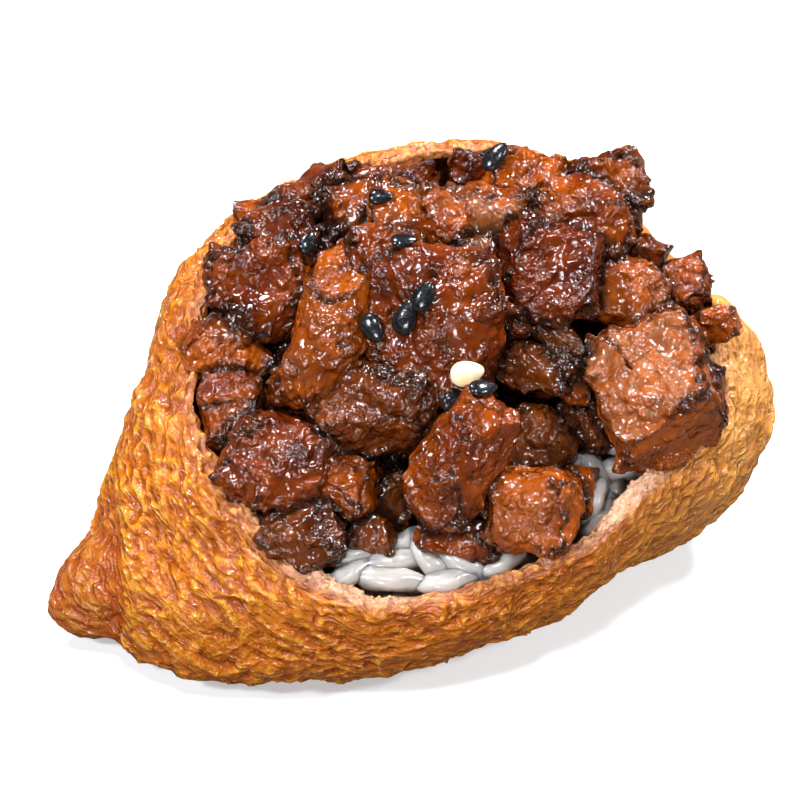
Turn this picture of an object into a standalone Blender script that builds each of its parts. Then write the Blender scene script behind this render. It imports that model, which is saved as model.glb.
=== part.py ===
"""Open-topped inari sushi: a fried tofu pouch, a bed of rice and a heap of glazed meat pieces.

Lengths are in millimetres and angles in degrees until MM turns a finished mesh into metres.
X runs along the pouch from its pinched corner (-X) to its round end (+X), and Z is up.
The pouch is turned round a vertical axis through the middle of its mouth. Every piece of meat is a
rounded block that the pieces listed before it, the rice and the pouch press into.
"""

import itertools
import math
from collections import namedtuple

import bmesh
import bpy
import numpy as np
from mathutils import Euler, Vector, noise

MM = 0.001

# Pouch
WALL = 2.1  # thickness of the fried tofu skin
LIP_RISE = 0.5  # how far the cut edge stands up between its two faces
MOUTH_CENTRE = (3.0, 0.0)
KNOB_ANGLE = 188.0  # the pinched corner of the bag
KNOB_REACH = 6.0
KNOB_SPREAD = 6.5
KNOB_HEIGHT = 5.0
KNOB_TALL = 5.5
FOLD_DEPTH = 0.55  # soft dents of the outer skin
AROUND = 56  # facets round the mouth
LOWER_RINGS = 4
UPPER_RINGS = 6

# Rice
RICE_GAP = 0.4
RICE_LEVEL = 16.3  # height of the bed under the middle of the mouth
RICE_SLOPE = 0.16  # the bed climbs towards the back wall
RICE_LUMP = 0.8
MOUND_RISE = 6.5  # the bed stands higher under the heap of meat
MOUND_CENTRE = (9.0, 9.0)
MOUND_HALF = (22.0, 12.0)
RICE_SIDE_RINGS = 4
RICE_TOP_RINGS = 5

# Meat
PRESS_GAP = 0.8  # air left where one piece presses into another, before facets eat into it
LUMP = 0.17  # unevenness of a piece, as a share of its radius
LUMP_PITCH = 1.9
STEP = 0.15  # how finely a piece is grown outwards until it meets something
GROWTH_GRID = (-0.6, -0.3, 0.0, 0.3, 0.6)  # where it may grow from, as shares of its half sizes
FACET_SLACK = 0.1  # how far the middle of a facet or edge may pass what could be grown there
SPIKE_LIMIT = 1.15  # a corner reaches at most this much further than the corners beside it
SPIKE_PASSES = 2
MIDDLE_PULL = 0.15  # how strongly the middle of the piece is preferred for that

Station = namedtuple("Station", "angle rim_radius rim_height belly_radius belly_height foot_radius")
STATIONS = (
    Station(0.0, 28.8, 24.6, 34.8, 14.0, 20.0),
    Station(22.5, 24.6, 26.8, 27.6, 15.0, 18.0),
    Station(45.0, 24.2, 30.4, 27.4, 15.0, 18.0),
    Station(67.5, 23.0, 31.0, 27.0, 15.0, 18.0),
    Station(90.0, 22.3, 30.8, 27.2, 15.0, 18.0),
    Station(112.5, 22.5, 29.4, 28.3, 14.0, 19.0),
    Station(135.0, 24.0, 27.4, 29.5, 14.0, 21.0),
    Station(157.5, 25.2, 25.0, 29.8, 11.0, 24.0),
    Station(180.0, 25.0, 22.6, 34.2, 6.5, 28.0),
    Station(202.5, 24.8, 19.8, 36.0, 5.2, 29.5),
    Station(225.0, 24.8, 16.7, 29.0, 7.0, 20.5),
    Station(247.5, 24.2, 15.0, 24.9, 8.5, 15.2),
    Station(270.0, 23.4, 14.8, 23.7, 10.0, 12.2),
    Station(292.5, 23.3, 16.0, 23.5, 12.0, 12.0),
    Station(315.0, 24.8, 18.4, 25.6, 13.5, 13.2),
    Station(337.5, 28.6, 22.2, 33.0, 13.5, 18.5),
)

Chunk = namedtuple("Chunk", "name centre size turn squareness cuts")
# The first pieces lie on top and keep their whole shape.
CHUNKS = (
    Chunk("meat_crown", (0.0, -1.6, 28.6), (20.4, 20.2, 12.6), (28, 4, -8), 2.6, 4),
    Chunk("meat_dark_cube", (16.4, 2.2, 30.4), (11.6, 9.8, 10.8), (20, 8, -12), 3.2, 3),
    Chunk("meat_right_cube", (22.8, -10.5, 24.6), (11.8, 10.8, 12.8), (15, -10, 8), 3.4, 4),
    Chunk("meat_left_slab", (-10.7, 10.4, 28.0), (10.4, 9.8, 13.2), (10, 12, -18), 2.8, 3),
    Chunk("meat_front_slab", (2.2, -12.6, 23.4), (10.8, 14.0, 8.8), (38, 0, -22), 2.6, 4),
    Chunk("meat_top", (7.6, 9.6, 32.4), (15.4, 6.6, 8.4), (12, 4, -10), 3.2, 4),
    Chunk("meat_back", (15.6, 13.5, 31.8), (11.4, 5.0, 7.2), (0, 0, -10), 3.0, 3),
    Chunk("meat_back_right", (24.0, 10.2, 32.4), (6.2, 5.6, 8.6), (4, 6, 0), 3.6, 3),
    Chunk("meat_ridge", (19.6, 8.0, 31.0), (10.6, 6.0, 8.0), (0, 12, -8), 2.8, 3),
    Chunk("meat_far_right", (28.8, -0.8, 26.8), (8.4, 6.6, 8.2), (0, -16, -8), 2.6, 3),
    Chunk("meat_back_left", (-4.8, 17.2, 30.2), (9.8, 5.0, 6.6), (0, 0, 6), 2.8, 3),
    Chunk("meat_back_middle", (3.8, 17.2, 30.2), (8.8, 5.0, 6.0), (0, 5, -14), 2.8, 3),
    Chunk("meat_left_corner", (-9.8, 16.2, 28.0), (8.4, 5.8, 7.0), (0, 0, 10), 2.6, 2),
    Chunk("meat_left_rib", (-4.6, 7.0, 28.6), (5.6, 9.5, 11.0), (20, 0, -14), 2.6, 3),
    Chunk("meat_upper_left", (-3.0, 13.2, 30.4), (11.8, 6.4, 8.4), (0, -8, 0), 2.8, 3),
    Chunk("meat_right_shoulder", (23.4, -1.2, 27.6), (8.2, 8.4, 9.8), (10, 0, -5), 2.8, 3),
    Chunk("meat_right_tail", (28.8, -5.4, 25.0), (6.2, 4.8, 6.0), (0, 20, 0), 2.8, 2),
    Chunk("meat_right_behind", (25.0, 5.4, 28.4), (6.0, 7.8, 9.4), (0, 0, 0), 2.8, 3),
    Chunk("meat_left_front", (-11.5, -8.0, 19.7), (14.6, 9.6, 9.0), (14, 6, -14), 2.6, 4),
    Chunk("meat_nugget", (7.6, -17.0, 18.1), (11.2, 8.0, 7.8), (20, -8, -2), 2.7, 4),
    Chunk("meat_nugget_knob", (13.2, -15.4, 18.2), (3.8, 4.8, 5.4), (0, 0, 0), 2.5, 2),
    Chunk("meat_front_shred", (0.6, -16.2, 16.6), (9.2, 5.0, 5.0), (0, 6, -16), 2.5, 2),
    Chunk("meat_small_low", (-7.0, -13.4, 16.8), (8.0, 4.8, 5.2), (0, 0, -8), 2.5, 2),
    Chunk("meat_middle_low", (-4.2, -11.0, 19.0), (9.0, 9.0, 9.0), (0, 0, 20), 2.5, 3),
    Chunk("meat_front_ball", (-13.2, -13.2, 17.2), (8.0, 6.8, 6.8), (0, 0, -20), 2.5, 3),
    Chunk("meat_left_middle", (-16.2, 6.2, 22.2), (10.6, 8.0, 8.6), (10, 0, -8), 2.7, 3),
    Chunk("meat_left_low", (-17.2, -0.4, 20.2), (8.2, 8.6, 7.8), (10, 0, 0), 2.6, 3),
    Chunk("meat_crown_left", (-10.0, 0.6, 23.0), (8.6, 9.2, 9.2), (0, 0, -20), 2.6, 3),
    Chunk("meat_fold", (13.0, -5.2, 24.0), (9.6, 6.8, 6.8), (25, 0, -24), 2.5, 3),
    Chunk("meat_twist", (14.6, -3.6, 26.2), (7.2, 5.6, 6.6), (20, 0, -20), 2.5, 2),
    Chunk("meat_centre_right", (10.6, 2.4, 28.8), (7.0, 7.0, 9.0), (10, 0, 0), 2.5, 2),
    Chunk("meat_inner_right", (20.0, -2.4, 22.4), (8.0, 8.0, 8.0), (0, 0, 40), 2.6, 3),
    Chunk("meat_low_right", (16.8, -7.8, 19.4), (6.4, 6.6, 7.4), (0, 0, 20), 2.6, 2),
    Chunk("meat_pale_shred", (11.2, -9.4, 18.9), (8.0, 6.8, 7.2), (10, 0, 0), 2.5, 3),
)

Finish = namedtuple("Finish", "name colour roughness coat")
TOFU_SKIN = Finish("tofu_skin", (0.62, 0.23, 0.03), 0.42, 0.2)
COOKED_RICE = Finish("cooked_rice", (0.83, 0.80, 0.74), 0.35, 0.1)
GLAZED_MEAT = Finish("glazed_meat", (0.16, 0.03, 0.008), 0.22, 0.8)


def clear_scene():
    for obj in list(bpy.data.objects):
        bpy.data.objects.remove(obj, do_unlink=True)


def material_of(finish):
    material = bpy.data.materials.get(finish.name) or bpy.data.materials.new(finish.name)
    material.use_nodes = True
    shader = material.node_tree.nodes["Principled BSDF"]
    shader.inputs["Base Color"].default_value = (*finish.colour, 1.0)
    shader.inputs["Roughness"].default_value = finish.roughness
    shader.inputs["Metallic"].default_value = 0.0
    shader.inputs["Coat Weight"].default_value = finish.coat
    return material


def add_object(name, mesh, finish, parent, centre=(0, 0, 0), turn=None):
    mesh.materials.append(material_of(finish))
    mesh.shade_smooth()
    obj = bpy.data.objects.new(name, mesh)
    bpy.context.scene.collection.objects.link(obj)
    obj.parent = parent
    obj.location = Vector(centre) * MM
    if turn is not None:
        obj.rotation_euler = turn
    return obj


def station_at(angle):
    """The pouch's measures at any angle, on a smooth closed curve through the stations."""
    count = len(STATIONS)
    spacing = 360.0 / count
    place = (angle % 360.0) / spacing
    first = int(place) % count
    t = place - int(place)
    four = [np.array(STATIONS[(first + k) % count][1:]) for k in (-1, 0, 1, 2)]
    slope_in = (four[2] - four[0]) / 2
    slope_out = (four[3] - four[1]) / 2
    measures = (
        (2 * t**3 - 3 * t**2 + 1) * four[1]
        + (t**3 - 2 * t**2 + t) * slope_in
        + (3 * t**2 - 2 * t**3) * four[2]
        + (t**3 - t**2) * slope_out
    )
    return Station(angle, *measures)


def knob_share(angle, height):
    """How much of the pinched corner's reach this place on the skin has, from 0 to 1."""
    off_angle = (angle - KNOB_ANGLE + 180.0) % 360.0 - 180.0
    off_height = height - KNOB_HEIGHT
    return math.exp(-((off_angle / KNOB_SPREAD) ** 2) - (off_height / KNOB_TALL) ** 2)


def fold_depth(angle, height):
    """The soft dents of the skin, none at the foot and at the lip."""
    turn = math.radians(angle)
    place = Vector((3.2 * math.cos(turn), 3.2 * math.sin(turn), height * 0.11))
    return FOLD_DEPTH * noise.noise(place) * math.sin(math.pi * min(1.0, height / 14.0))


def skin_profile(angle):
    """(radius, height) of the outer skin from the foot up to the lip, without knob or dents."""
    at = station_at(angle)
    profile = []
    for ring in range(LOWER_RINGS + 1):
        turn = 0.5 * math.pi * ring / LOWER_RINGS
        radius = at.foot_radius + (at.belly_radius - at.foot_radius) * math.sin(turn)
        profile.append((radius, at.belly_height * (1 - math.cos(turn))))
    lean = at.belly_radius - at.rim_radius
    fullness = 2.0 - 0.7 * min(1.0, max(0.0, lean - 3.0) / 9.0)
    for ring in range(1, UPPER_RINGS + 1):
        turn = 0.5 * math.pi * ring / UPPER_RINGS
        along = math.sin(turn) ** (2 / fullness)
        radius = at.rim_radius + lean * math.cos(turn) ** (2 / fullness)
        profile.append((radius, at.belly_height + (at.rim_height - at.belly_height) * along))
    return np.array(profile)


def inner_profile(angle):
    """The same places moved inwards by the wall's thickness. The last one is the lip's inner edge."""
    outer = skin_profile(angle)
    along = np.gradient(outer, axis=0)
    along /= np.linalg.norm(along, axis=1)[:, None]
    inwards = np.stack([-along[:, 1], along[:, 0]], axis=1)
    inner = outer + WALL * inwards
    inner[0] = (outer[0][0], WALL)
    inner[-1] = (outer[-1][0] - WALL, outer[-1][1])
    inner[:, 1] = np.maximum.accumulate(inner[:, 1] + 1e-3 * np.arange(len(inner)))
    return inner


def on_turn(angle, radius, height):
    turn = math.radians(angle)
    return Vector(
        (
            MOUTH_CENTRE[0] + radius * math.cos(turn),
            MOUTH_CENTRE[1] + radius * math.sin(turn),
            height,
        )
    )


def turned_mesh(name, profiles):
    """A closed solid from one profile per facet, each running from the underside's centre to the top's."""
    bm = bmesh.new()
    first = bm.verts.new(profiles[0][0] * MM)
    last = bm.verts.new(profiles[0][-1] * MM)
    columns = [[bm.verts.new(point * MM) for point in profile[1:-1]] for profile in profiles]
    for here, after in zip(columns, columns[1:] + columns[:1]):
        bm.faces.new((first, after[0], here[0]))
        for low in range(len(here) - 1):
            bm.faces.new((here[low], after[low], after[low + 1], here[low + 1]))
        bm.faces.new((last, here[-1], after[-1]))
    mesh = bpy.data.meshes.new(name)
    bm.to_mesh(mesh)
    bm.free()
    return mesh


def pouch_profile(angle):
    points = [on_turn(angle, 0.0, 0.0)]
    for radius, height in skin_profile(angle):
        radius += KNOB_REACH * knob_share(angle, height) + fold_depth(angle, height)
        points.append(on_turn(angle, radius, height))
    inner = inner_profile(angle)
    lip = station_at(angle)
    points.append(on_turn(angle, lip.rim_radius - WALL / 2, lip.rim_height + LIP_RISE))
    points.extend(on_turn(angle, radius, height) for radius, height in inner[::-1])
    points.append(on_turn(angle, 0.0, WALL))
    return points


def cavity_radius(angle, height):
    """Distance from the mouth's axis to the pouch's inner face."""
    inner = inner_profile(angle)
    return float(np.interp(height, inner[:, 1], inner[:, 0]))


CAVITY_ANGLES = 120
CAVITY = [inner_profile(360.0 * k / CAVITY_ANGLES) for k in range(CAVITY_ANGLES)]
LIP_HEIGHTS = [station_at(360.0 * k / CAVITY_ANGLES).rim_height for k in range(CAVITY_ANGLES)]


def rice_height(x, y):
    lump = noise.noise(Vector((x * 0.28, y * 0.28, 0.0))) + 0.5 * noise.noise(Vector((x, y, 7.0)) * 0.6)
    off = ((x - MOUND_CENTRE[0]) / MOUND_HALF[0]) ** 2 + ((y - MOUND_CENTRE[1]) / MOUND_HALF[1]) ** 2
    return RICE_LEVEL + RICE_SLOPE * y + MOUND_RISE * math.exp(-off) + RICE_LUMP * lump


def rice_profile(angle):
    floor = WALL + RICE_GAP
    edge = RICE_LEVEL
    for _ in range(6):
        place = on_turn(angle, cavity_radius(angle, edge) - RICE_GAP, 0.0)
        edge = rice_height(place.x, place.y)
    points = [on_turn(angle, 0.0, floor)]
    for ring in range(RICE_SIDE_RINGS + 1):
        height = floor + (edge - floor) * ring / RICE_SIDE_RINGS
        points.append(on_turn(angle, cavity_radius(angle, height) - RICE_GAP, height))
    outside = cavity_radius(angle, edge) - RICE_GAP
    for ring in range(1, RICE_TOP_RINGS + 1):
        place = on_turn(angle, outside * (1 - ring / RICE_TOP_RINGS), 0.0)
        place.z = rice_height(place.x, place.y)
        points.append(place)
    return points


def air_to_pouch(point):
    """Free distance to the pouch's inner face, or to the lip from above."""
    x, y = point.x - MOUTH_CENTRE[0], point.y - MOUTH_CENTRE[1]
    index = round(math.degrees(math.atan2(y, x)) % 360.0 / 360.0 * CAVITY_ANGLES) % CAVITY_ANGLES
    inner = CAVITY[index]
    sideways = float(np.interp(point.z, inner[:, 1], inner[:, 0])) - math.hypot(x, y)
    return max(sideways, point.z - LIP_HEIGHTS[index] - LIP_RISE)


class Block:
    """A rounded, uneven block whose surface is a distance from its centre in every direction."""

    def __init__(self, chunk, seed):
        self.chunk = chunk
        self.centre = Vector(chunk.centre)
        self.half = Vector(chunk.size) / 2
        self.turn = Euler([math.radians(a) for a in chunk.turn])
        self.to_world = self.turn.to_matrix()
        self.to_local = self.to_world.transposed()
        self.seed = Vector((seed * 3.1, seed * 1.7, seed * 0.9))
        self.reach = max(self.half) * (1 + LUMP) * 1.35

    def radius(self, direction):
        power = self.chunk.squareness
        share = sum((abs(d) / h) ** power for d, h in zip(direction, self.half))
        lump = 1 + LUMP * noise.noise(direction * LUMP_PITCH + self.seed)
        return lump * share ** (-1 / power)

    def air(self, point):
        """Free distance from a point to this block, negative inside it."""
        local = self.to_local @ (point - self.centre)
        distance = local.length
        if distance < STEP:
            return -min(self.half)
        if distance > self.reach + PRESS_GAP:
            return distance - self.reach
        return distance - self.radius(local / distance)


def clearance(point, above):
    """Free distance to every piece that lies above, to the rice and to the pouch, beyond the gap kept."""
    free = min(point.z - rice_height(point.x, point.y), air_to_pouch(point))
    for other in above:
        free = min(free, other.air(point))
    return free - PRESS_GAP


def freest_place(block, above):
    """The place inside a block with the most room round it: what is left of the block grows from there."""
    places = []
    for shares in itertools.product(GROWTH_GRID, repeat=3):
        inside = Vector([share * half for share, half in zip(shares, block.half)])
        places.append(block.centre + block.to_world @ inside)
    return max(places, key=lambda place: clearance(place, above) - MIDDLE_PULL * (place - block.centre).length)


def grown_radius(block, start, direction, above):
    """How far the block reaches from its growing place before it ends or meets something."""
    outwards = block.to_world @ direction
    radius = STEP
    point = start + outwards * radius
    while block.air(point) < 0 and clearance(point, above) > 0:
        radius += STEP
        point = start + outwards * radius
    return radius


def chunk_mesh(block, start, above):
    bm = bmesh.new()
    bmesh.ops.create_cube(bm, size=2.0)
    bmesh.ops.subdivide_edges(bm, edges=bm.edges[:], cuts=block.chunk.cuts, use_grid_fill=True)
    for vert in bm.verts:
        direction = Vector([math.tan(math.pi / 4 * c) for c in vert.co]).normalized()
        vert.co = direction * grown_radius(block, start, direction, above)
    for _ in range(SPIKE_PASSES):
        limits = {}
        for vert in bm.verts:
            around = [edge.other_vert(vert).co.length for edge in vert.link_edges]
            limits[vert] = SPIKE_LIMIT * sum(around) / len(around)
        for vert, limit in limits.items():
            vert.co *= min(1.0, limit / vert.co.length)
    shares = dict.fromkeys(bm.verts, 1.0)
    for flat in [*bm.edges, *bm.faces]:
        middle = sum((vert.co for vert in flat.verts), Vector()) / len(flat.verts)
        limit = grown_radius(block, start, middle.normalized(), above) + FACET_SLACK
        for vert in flat.verts:
            shares[vert] = min(shares[vert], limit / middle.length)
    for vert, share in shares.items():
        vert.co *= share * MM
    mesh = bpy.data.meshes.new(block.chunk.name)
    bm.to_mesh(mesh)
    bm.free()
    return mesh


def build():
    clear_scene()
    serving = bpy.data.objects.new("serving", None)
    bpy.context.scene.collection.objects.link(serving)
    angles = [360.0 * k / AROUND for k in range(AROUND)]
    made = [
        add_object("pouch", turned_mesh("pouch", [pouch_profile(a) for a in angles]), TOFU_SKIN, serving),
        add_object("rice", turned_mesh("rice", [rice_profile(a) for a in angles]), COOKED_RICE, serving),
    ]
    above = []
    for seed, chunk in enumerate(CHUNKS, start=1):
        block = Block(chunk, seed)
        near = [o for o in above if (o.centre - block.centre).length < o.reach + block.reach + PRESS_GAP]
        start = freest_place(block, near)
        mesh = chunk_mesh(block, start, near)
        made.append(add_object(chunk.name, mesh, GLAZED_MEAT, serving, start, block.turn))
        above.append(block)
    centre_on_footprint(serving, made)


def centre_on_footprint(serving, objects):
    """Moves everything so that the whole stands over the origin."""
    bpy.context.view_layer.update()
    corners = [obj.matrix_world @ vert.co for obj in objects for vert in obj.data.vertices]
    for axis in (0, 1):
        values = [corner[axis] for corner in corners]
        serving.location[axis] = -(min(values) + max(values)) / 2


build()
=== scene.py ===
import math
from collections import namedtuple

import bmesh
import bpy
import numpy as np
from mathutils import Matrix, Vector, noise
from mathutils.bvhtree import BVHTree
from mathutils.kdtree import KDTree


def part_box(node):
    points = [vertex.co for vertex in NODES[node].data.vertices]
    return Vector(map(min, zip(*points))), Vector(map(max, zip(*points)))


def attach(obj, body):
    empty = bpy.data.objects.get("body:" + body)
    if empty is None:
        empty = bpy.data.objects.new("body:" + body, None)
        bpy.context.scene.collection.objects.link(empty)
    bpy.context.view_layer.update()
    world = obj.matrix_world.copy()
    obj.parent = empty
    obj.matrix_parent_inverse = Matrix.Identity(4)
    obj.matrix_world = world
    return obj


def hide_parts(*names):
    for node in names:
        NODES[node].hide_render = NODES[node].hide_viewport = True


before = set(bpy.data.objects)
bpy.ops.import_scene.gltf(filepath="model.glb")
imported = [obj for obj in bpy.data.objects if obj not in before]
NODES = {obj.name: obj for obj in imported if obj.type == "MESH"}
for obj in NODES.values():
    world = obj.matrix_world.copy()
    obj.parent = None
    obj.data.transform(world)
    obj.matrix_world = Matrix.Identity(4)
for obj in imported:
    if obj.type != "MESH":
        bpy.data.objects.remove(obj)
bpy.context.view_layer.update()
MM = 0.001

# ---- sizes, in millimetres and degrees

MOUTH_AXIS = (2.7, -1.8)  # the vertical line that the pouch is wrapped round

CAMERA_AIM = (0.9, 2.2, 14.0)
CAMERA_AZIMUTH = -15.0
CAMERA_ELEVATION = 48.0
CAMERA_DISTANCE = 400.0
CAMERA_LENS = 180.0

SKY_STRENGTH = 0.05
FLOOR_HALF = 1200.0
FLOOR_GLOW = 0.32
FLOOR_MIRRORED = (0.16, 0.13, 0.10)


# ---- meshes as arrays

def table_of(items, key, width, kind=np.float32):
    flat = np.empty(len(items) * width, kind)
    items.foreach_get(key, flat)
    return flat.reshape(-1, width)


def points_of(mesh):
    return table_of(mesh.vertices, "co", 3).astype(float) / MM


def put_points(mesh, points):
    mesh.vertices.foreach_set("co", (points * MM).astype(np.float32).ravel())
    mesh.update()


def normals_of(mesh):
    return table_of(mesh.vertex_normals, "vector", 3).astype(float)


def edges_of(mesh):
    return table_of(mesh.edges, "vertices", 2, np.int32)


def mark(mesh, name, values):
    attribute = mesh.attributes.new(name, "FLOAT", "POINT")
    attribute.data.foreach_set("value", np.asarray(values, np.float32))


def mark_vectors(mesh, name, vectors):
    attribute = mesh.attributes.new(name, "FLOAT_VECTOR", "POINT")
    attribute.data.foreach_set("vector", np.asarray(vectors, np.float32).ravel())


def smooth_step(low, high, values):
    share = np.clip((values - low) / (high - low), 0.0, 1.0)
    return share * share * (3 - 2 * share)


def bell(values):
    """1 at 0, falling off softly on both sides."""
    return np.exp(-(values**2))


def smoothed(values, edges, rounds):
    """Values averaged with those of the joined vertices."""
    count = np.bincount(edges.ravel(), minlength=len(values)).astype(float)
    for _ in range(rounds):
        total = np.zeros_like(values)
        np.add.at(total, edges[:, 0], values[edges[:, 1]])
        np.add.at(total, edges[:, 1], values[edges[:, 0]])
        mean = total / (count if values.ndim == 1 else count[:, None])
        values = 0.5 * values + 0.5 * mean
    return values


def ridge_heights(mesh, rounds):
    """How far each point stands out of its surroundings: over 0 on a ridge, under 0 in a valley."""
    points = points_of(mesh)
    away = points - smoothed(points, edges_of(mesh), rounds)
    return np.einsum("ij,ij->i", away, normals_of(mesh))


def evened(values):
    """The values in steps of their own spread."""
    return np.clip(values / values.std(), -4, 4)


def noise_at(points, size, seed=0.0, stretch=(1, 1, 1)):
    """Smooth noise from about -1 to 1, whose lumps are about `size` millimetres across."""
    places = points * np.asarray(stretch) / size + seed * 17.3
    return np.array([noise.noise(Vector(p)) for p in places])


def crumpled_at(points, size, octaves, seed=0.0):
    """Rounded bumps with soft creases between them, from about 0 to 1."""
    total = np.zeros(len(points))
    for octave in range(octaves):
        bump = noise_at(points, size / 2**octave, seed + octave)
        total += np.sqrt(bump**2 + 0.01) * 0.6**octave
    return total


def fractal_at(points, size, octaves, seed=0.0):
    places = points / size + seed * 11.7
    return np.array([noise.fractal(Vector(p), 0.9, 2.1, octaves) for p in places])


def cells_at(points, size, seed=0.0):
    """Distance to the nearest of scattered points, 0 at a cell's middle and about 1 at its rim."""
    places = points / size + seed * 7.9
    return np.array([noise.voronoi(Vector(p))[0][0] for p in places])


def refined(node, name, levels):
    """A fine smooth copy of a CAD node's mesh."""
    bm = bmesh.new()
    bm.from_mesh(NODES[node].data)
    bmesh.ops.remove_doubles(bm, verts=bm.verts, dist=1e-6)
    bmesh.ops.join_triangles(
        bm, faces=bm.faces, angle_face_threshold=math.pi, angle_shape_threshold=math.pi
    )
    rough = bpy.data.meshes.new(name)
    bm.to_mesh(rough)
    bm.free()
    obj = linked_object(name, rough)
    subdivision = obj.modifiers.new("subdivision", "SUBSURF")
    subdivision.levels = levels
    subdivision.render_levels = levels
    return baked(obj)


def linked_object(name, data):
    obj = bpy.data.objects.new(name, data)
    bpy.context.scene.collection.objects.link(obj)
    return obj


def baked(obj):
    """A plain mesh of what the object's modifiers make. The object is removed."""
    graph = bpy.context.evaluated_depsgraph_get()
    name = obj.name
    mesh = bpy.data.meshes.new_from_object(obj.evaluated_get(graph))
    bpy.data.objects.remove(obj)
    mesh.name = name
    return mesh


def add_piece(name, mesh, material, slot, *replaced):
    if material:
        mesh.materials.clear()
        mesh.materials.append(material)
    mesh.shade_smooth()
    piece = linked_object(name, mesh)
    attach(piece, "root")
    if replaced:
        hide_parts(*replaced)
    return piece


# ---- shader building blocks

def feed(tree, node, inputs):
    """Links each socket that is given to an input, and sets each plain value."""
    for key, value in inputs.items():
        if isinstance(value, bpy.types.NodeSocket):
            tree.links.new(value, node.inputs[key])
        else:
            node.inputs[key].default_value = value


def add_node(tree, kind, inputs=(), **settings):
    made = tree.nodes.new(kind)
    for key, value in settings.items():
        setattr(made, key, value)
    feed(tree, made, dict(inputs))
    return made


def new_material(name):
    material = bpy.data.materials.new(name)
    material.use_nodes = True
    tree = material.node_tree
    return material, tree, tree.nodes["Principled BSDF"]


def new_group(name, inputs, outputs):
    group = bpy.data.node_groups.new(name, "ShaderNodeTree")
    for socket, kind, value in inputs:
        made = group.interface.new_socket(socket, in_out="INPUT", socket_type="NodeSocket" + kind)
        if value is not None:
            made.default_value = value
    for socket, kind in outputs:
        group.interface.new_socket(socket, in_out="OUTPUT", socket_type="NodeSocket" + kind)
    return group, group.nodes.new("NodeGroupInput").outputs, group.nodes.new("NodeGroupOutput").inputs


def use_group(tree, group, inputs):
    return add_node(tree, "ShaderNodeGroup", inputs, node_tree=group).outputs


def maths(tree, operation, first, second, clamp=False):
    made = add_node(
        tree, "ShaderNodeMath", {0: first, 1: second}, operation=operation, use_clamp=clamp
    )
    return made.outputs[0]


def times(tree, first, second):
    return maths(tree, "MULTIPLY", first, second)


def plus(tree, first, second):
    return maths(tree, "ADD", first, second)


def mixed(tree, share, first, second):
    """Two colours mixed, each a socket or plain red, green and blue."""
    given = {0: share}
    for index, colour in ((6, first), (7, second)):
        given[index] = colour if isinstance(colour, bpy.types.NodeSocket) else (*colour, 1.0)
    return add_node(tree, "ShaderNodeMix", given, data_type="RGBA").outputs[2]


def ranged(tree, value, low, high, to_low=0.0, to_high=1.0):
    made = add_node(
        tree, "ShaderNodeMapRange",
        {"Value": value, "From Min": low, "From Max": high, "To Min": to_low, "To Max": to_high},
    )
    return made.outputs["Result"]


def attribute_of(tree, name, output="Fac"):
    return add_node(tree, "ShaderNodeAttribute", attribute_name=name).outputs[output]


def noise_node(tree, place, per_mm, detail=3.0, roughness=0.55, distortion=0.0):
    return add_node(
        tree, "ShaderNodeTexNoise",
        {"Vector": place, "Scale": per_mm / MM, "Detail": detail, "Roughness": roughness,
         "Distortion": distortion},
    ).outputs["Fac"]


def ridged_node(tree, place, per_mm, detail=3.0):
    """Crests and troughs from about 0 to 1, the crests sharp and meandering."""
    crests = add_node(
        tree, "ShaderNodeTexNoise",
        {"Vector": place, "Scale": per_mm / MM, "Detail": detail, "Roughness": 0.55, "Distortion": 0.6},
        noise_type="RIDGED_MULTIFRACTAL", normalize=False,
    )
    crests.inputs["Offset"].default_value = 0.9
    crests.inputs["Gain"].default_value = 1.4
    return times(tree, crests.outputs["Fac"], 0.6)


def object_place(tree):
    return add_node(tree, "ShaderNodeTexCoord").outputs["Object"]


# ---- shared effects

def wet_relief_group():
    """Fine wet relief: ripples of a sticky film with small beads on them, as a height from 0 to 1."""
    group, given, wanted = new_group(
        "wet_relief",
        [("Place", "Vector", None), ("Ripple", "Float", 900.0),
         ("Bead", "Float", 2600.0), ("Bead Share", "Float", 0.3)],
        [("Height", "Float")],
    )
    ripple = add_node(
        group, "ShaderNodeTexNoise",
        {"Vector": given["Place"], "Scale": given["Ripple"], "Detail": 1.2, "Roughness": 0.5,
         "Distortion": 0.6},
    ).outputs["Fac"]
    bead = add_node(
        group, "ShaderNodeTexVoronoi", {"Vector": given["Place"], "Scale": given["Bead"]},
        feature="SMOOTH_F1",
    ).outputs["Distance"]
    beads = maths(group, "SUBTRACT", 1.0, bead)
    part = times(group, beads, given["Bead Share"])
    group.links.new(plus(group, ripple, part), wanted["Height"])
    return group


def mottle_group():
    """Uneven colour: two sizes of patches as shares from 0 to 1."""
    group, given, wanted = new_group(
        "mottle",
        [("Place", "Vector", None), ("Patch", "Float", 200.0),
         ("Speck", "Float", 1500.0)],
        [("Patches", "Float"), ("Specks", "Float")],
    )
    for source, target, low, high in (("Patch", "Patches", 0.36, 0.64), ("Speck", "Specks", 0.4, 0.66)):
        texture = add_node(
            group, "ShaderNodeTexNoise",
            {"Vector": given["Place"], "Scale": given[source], "Detail": 4.0, "Roughness": 0.6},
        )
        group.links.new(ranged(group, texture.outputs["Fac"], low, high), wanted[target])
    return group


WET_RELIEF = wet_relief_group()
MOTTLE = mottle_group()


def bumped(tree, height, strength, distance):
    made = add_node(
        tree, "ShaderNodeBump", {"Height": height, "Strength": strength, "Distance": distance * MM}
    )
    return made.outputs["Normal"]


# ---- tofu skin

SKIN_GOLD = (0.52, 0.137, 0.003)
SKIN_DEEP = (0.29, 0.052, 0.0025)
SKIN_YELLOW = (0.70, 0.31, 0.018)
SKIN_CRUMB = (0.68, 0.38, 0.25)
SKIN_PALE = (0.80, 0.42, 0.12)
SKIN_INSIDE = (0.62, 0.28, 0.10)
SKIN_CORNER = (0.24, 0.035, 0.005)


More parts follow.
